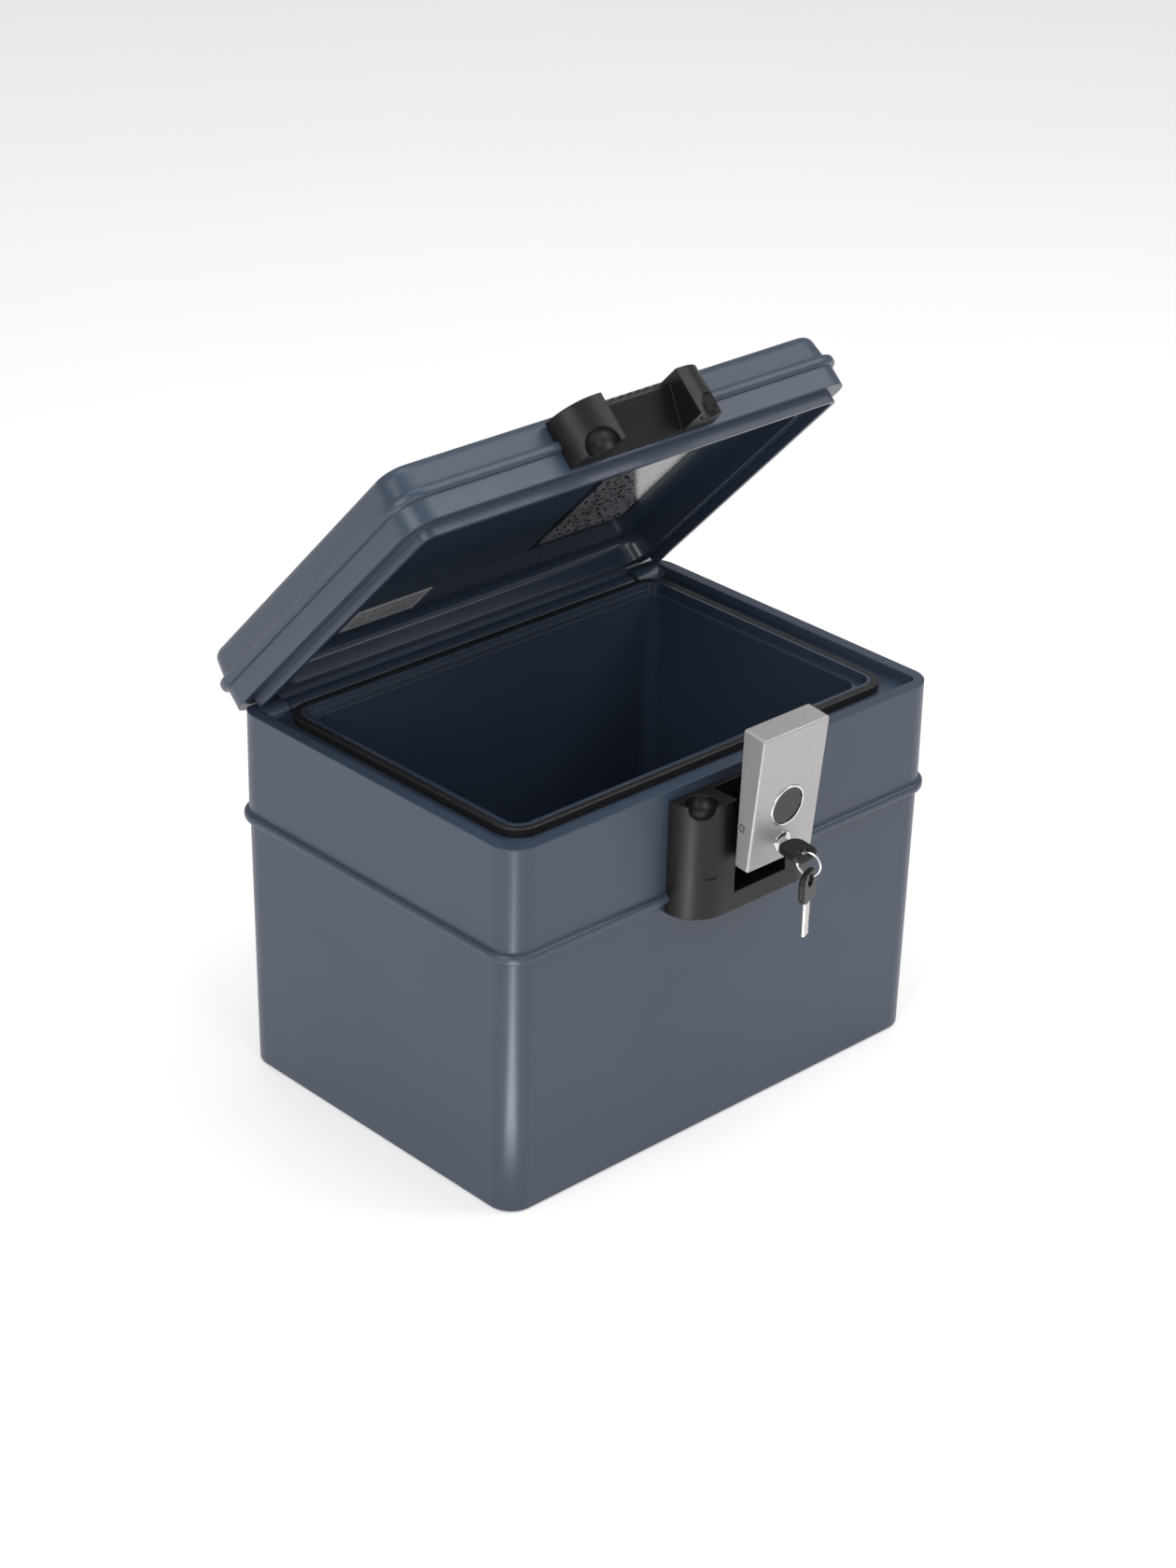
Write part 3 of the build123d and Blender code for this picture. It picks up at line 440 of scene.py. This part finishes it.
# Finishes by material slot
# The second colour of each plastic is painted on its edges as a painted highlight
SLATE = (0.043, 0.061, 0.096)
SLATE_EDGE_HIGHLIGHT = (0.085, 0.108, 0.150)
finishes = {
    "shell_plastic": plastic(
        "shell_plastic", SLATE, SLATE_EDGE_HIGHLIGHT, roughness=0.34, wave=0.0006, radius=0.0015, edges=0.35
    ),
    "liner_plastic": plastic(
        "liner_plastic", (0.034, 0.049, 0.078), SLATE_EDGE_HIGHLIGHT, roughness=0.14,
        grain=(1200.0, 0.000006), wave=0.0004, edges=0.3,
    ),
    "handle_plastic": plastic(
        "handle_plastic", (0.0075, 0.0068, 0.0064), (0.035, 0.033, 0.032), roughness=0.38,
        grain=(1400.0, 0.00003), wave=0.0002, radius=0.0012, edges=0.35, specular=0.34,
    ),
    "gasket_rubber": plastic(
        "gasket_rubber", (0.010, 0.010, 0.0115), (0.03, 0.03, 0.03), roughness=0.5,
        grain=(1800.0, 0.00004), wave=0.0001, radius=0.0008, edges=0.3, dust=0.35,
    ),
    "fire_fill": plastic(
        "fire_fill", (0.58, 0.55, 0.49), (0.66, 0.63, 0.57), roughness=0.85,
        grain=(260.0, 0.0006), wave=0.001, edges=0.5,
    ),
    "case_metal": metal(
        "case_metal", (0.45, 0.437, 0.445), roughness=0.40, metallic=0.5,
        stroke=(1.0, 1.0, 1.0), depth=0.0, flake=0.2, radius=0.0009,
    ),
    "steel": metal("steel", (0.50, 0.49, 0.48), roughness=0.28),
    "chrome": metal(
        "chrome", (0.66, 0.66, 0.67), roughness=0.12,
        stroke=(90.0, 90.0, 90.0), depth=0.000002, flake=0.02, radius=0.0003,
    ),
    "sensor_black": plastic(
        "sensor_black", (0.0015, 0.0015, 0.0018), (0.006, 0.006, 0.007), roughness=0.08,
        grain=(600.0, 0.000001), wave=0.00005, radius=0.0004, edges=0.2,
    ),
    "board_green": plastic(
        "board_green", (0.012, 0.10, 0.035), (0.35, 0.30, 0.18), roughness=0.35,
        grain=(500.0, 0.00005), wave=0.0001, radius=0.0003, edges=0.6,
    ),
    "cell_wrap": plastic(
        "cell_wrap", (0.06, 0.06, 0.065), (0.4, 0.38, 0.34), roughness=0.22,
        grain=(500.0, 0.00001), wave=0.0001, radius=0.0006, edges=0.6,
    ),
}


def middle(node):
    """The centre of a node's box."""
    low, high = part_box(node)
    return tuple((low + high) / 2)


finishes["label_paper"] = label(
    "label_paper", paper=(0.62, 0.63, 0.64), ink=(0.10, 0.10, 0.11), turn=LID_OPEN,
    centre=middle("lid_label_small"), rows=260.0, fill=0.5, words=320.0,
    margin=(0.030, 0.0125), roughness=0.35,
)
finishes["label_dark"] = label(
    "label_dark", paper=(0.010, 0.010, 0.011), ink=(0.55, 0.56, 0.57), turn=LID_OPEN,
    centre=middle("lid_label_large"), rows=240.0, fill=0.42, words=260.0,
    margin=(0.041, 0.055), roughness=0.07,
)

for entry in frame["record"]["subparts"]:
    piece = nodes[entry["node"]]
    finish = finishes[entry["material_slot"]]
    if not piece.material_slots:
        piece.data.materials.append(finish)
    for holder in piece.material_slots:
        holder.material = finish


# Split ring
def tube_mesh(name, path, across, along, half_across, half_along, sides=12):
    """A tube along a path: at each point an oval, the first half-width times the cosine of an angle along
    one cross direction plus the second times its sine along the other. Flat caps close both ends."""
    angle = np.linspace(0, 2 * pi, sides, endpoint=False)
    wide = half_across * np.cos(angle)[:, None, None] * across[None]
    deep = half_along * np.sin(angle)[:, None, None] * along[None]
    points = (path[None] + (wide + deep)).transpose(1, 0, 2).reshape(-1, 3)
    count = len(path)
    step, side = np.meshgrid(np.arange(count - 1), np.arange(sides), indexing="ij")
    ahead = (side + 1) % sides
    quads = np.stack(
        [
            step * sides + side,
            step * sides + ahead,
            (step + 1) * sides + ahead,
            (step + 1) * sides + side,
        ],
        axis=-1,
    ).reshape(-1, 4)
    faces = quads.tolist() + [list(range(sides))[::-1], list(range((count - 1) * sides, count * sides))]
    mesh = bpy.data.meshes.new(name)
    mesh.from_pydata(points.tolist(), [], faces)
    mesh.shade_smooth()
    made = bpy.data.objects.new(name, mesh)
    scene.collection.objects.link(made)
    return made


def split_ring():
    """Two turns of wire side by side: a circle in the ring's plane that moves along its axis by one wire
    width a turn, eased so that the turns lie flat except at the step between them."""
    angle = np.linspace(0, 2 * pi * RING_TURNS, RING_SAMPLES) + RING_START
    share = np.linspace(0, 1, RING_SAMPLES)
    ease = np.clip((share - STEP_START) / STEP_LENGTH, 0, 1)
    shift = (ease * ease * (3 - 2 * ease) - 0.5) * RING_WIRE
    along = np.array([-sin(RING_TURN), cos(RING_TURN), 0.0])
    axis = np.array([-cos(RING_TURN), -sin(RING_TURN), 0.0])
    up = np.array([0.0, 0.0, 1.0])
    outward = np.cos(angle)[:, None] * along + np.sin(angle)[:, None] * up
    path = RING_CENTRE + RING_RADIUS * outward + shift[:, None] * axis
    sideways = np.broadcast_to(axis, path.shape)
    halves = (RING_WIRE * WIRE_HALF_ACROSS, RING_WIRE * WIRE_HALF_ALONG)
    made = tube_mesh("split_ring", path, outward, sideways, *halves)
    made.data.materials.append(finishes["chrome"])
    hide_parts("key_ring")
    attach(made, "ring")


split_ring()


# Studio
def floor():
    """A wide pale sheet."""
    half = FLOOR_HALF
    corners = [(-half, -half, 0), (half, -half, 0), (half, half, 0), (-half, half, 0)]
    mesh = bpy.data.meshes.new("studio_floor")
    mesh.from_pydata(corners, [], [(0, 1, 2, 3)])
    sheet = bpy.data.objects.new("studio_floor", mesh)
    scene.collection.objects.link(sheet)
    material, tree, shader = new_material("studio_floor")
    place = put(tree, "ShaderNodeTexCoord").outputs["Object"]
    cloud = noise(tree, place, 3.0, 3.0)
    colour = blend_colour(tree, cloud, grey(0.89), grey(0.91))
    tree.links.new(colour, shader.inputs["Base Color"])
    tree.links.new(span(tree, cloud, 0.3, 0.7, 0.66, 0.74), shader.inputs["Roughness"])
    rays = put(tree, "ShaderNodeLightPath").outputs
    mirrored = calc(tree, "MAXIMUM", rays["Is Glossy Ray"], rays["Is Transmission Ray"])
    seen = calc(tree, "MAXIMUM", rays["Is Camera Ray"], mirrored)
    shader.inputs["Emission Color"].default_value = grey(1.0)
    tree.links.new(calc(tree, "MULTIPLY", seen, FLOOR_GLOW), shader.inputs["Emission Strength"])
    mesh.materials.append(material)


def lamp(name, place, aim, size, power, mirrored_only=False):
    """A soft rectangular lamp that faces a point, hidden from the camera."""
    data = bpy.data.lights.new(name, "AREA")
    data.shape = "RECTANGLE"
    data.size, data.size_y = size
    data.energy = power
    made = bpy.data.objects.new(name, data)
    made.location = place
    made.rotation_euler = (Vector(aim) - Vector(place)).to_track_quat("-Z", "Y").to_euler()
    made.visible_camera = False
    made.visible_diffuse = not mirrored_only
    scene.collection.objects.link(made)
    return made


def world():
    """Soft light from all round, the same for every ray."""
    made = bpy.data.worlds.new("studio")
    made.use_nodes = True
    tree = made.node_tree
    tree.nodes.clear()
    background = put(tree, "ShaderNodeBackground", {"Color": grey(1.0), "Strength": WORLD_STRENGTH})
    put(tree, "ShaderNodeOutputWorld", {"Surface": background.outputs[0]})
    scene.world = made


def camera():
    """The photograph's viewpoint, found from the chest's edges: its place, its aim and its small roll."""
    azimuth, elevation, roll = VIEW_AZIMUTH, VIEW_ELEVATION, VIEW_ROLL
    back = Vector((sin(azimuth) * cos(elevation), -cos(azimuth) * cos(elevation), sin(elevation)))
    right = Vector((cos(azimuth), sin(azimuth), 0.0))
    up = back.cross(right)
    turned_right = right * cos(roll) + up * sin(roll)
    turned_up = up * cos(roll) - right * sin(roll)
    data = bpy.data.cameras.new("viewpoint")
    data.sensor_fit = "VERTICAL"
    data.sensor_height = VIEW_SENSOR
    data.lens = VIEW_LENS
    data.clip_start, data.clip_end = 0.05, 60.0
    made = bpy.data.objects.new("viewpoint", data)
    turn = Matrix((turned_right, turned_up, back)).transposed()
    made.matrix_world = Matrix.Translation(VIEW_PLACE) @ turn.to_4x4()
    scene.collection.objects.link(made)
    scene.camera = made


floor()
world()
camera()
lamp("left_box", place=(-2.2, -0.6, 1.5), aim=CHEST_AIM, size=(1.6, 1.6), power=26.0)
lamp("front_box", place=(-0.6, -2.4, 1.2), aim=CHEST_AIM, size=(1.0, 1.8), power=10.0)
lamp("top_box", place=(0.2, 0.2, 2.6), aim=CHEST_AIM, size=(2.0, 1.6), power=18.0)
lamp("sheen_box", place=(1.46, -1.04, 2.11), aim=LID_AIM, size=(1.5, 1.5), power=17.0)
corner_strip = lamp(
    "corner_strip", place=STRIP_PLACE, aim=STRIP_AIM, size=(0.08, 0.5), power=1.0, mirrored_only=True
)
corner_strip.rotation_euler = (pi, 0, STRIP_TURN)
scene.view_settings.view_transform = "Standard"
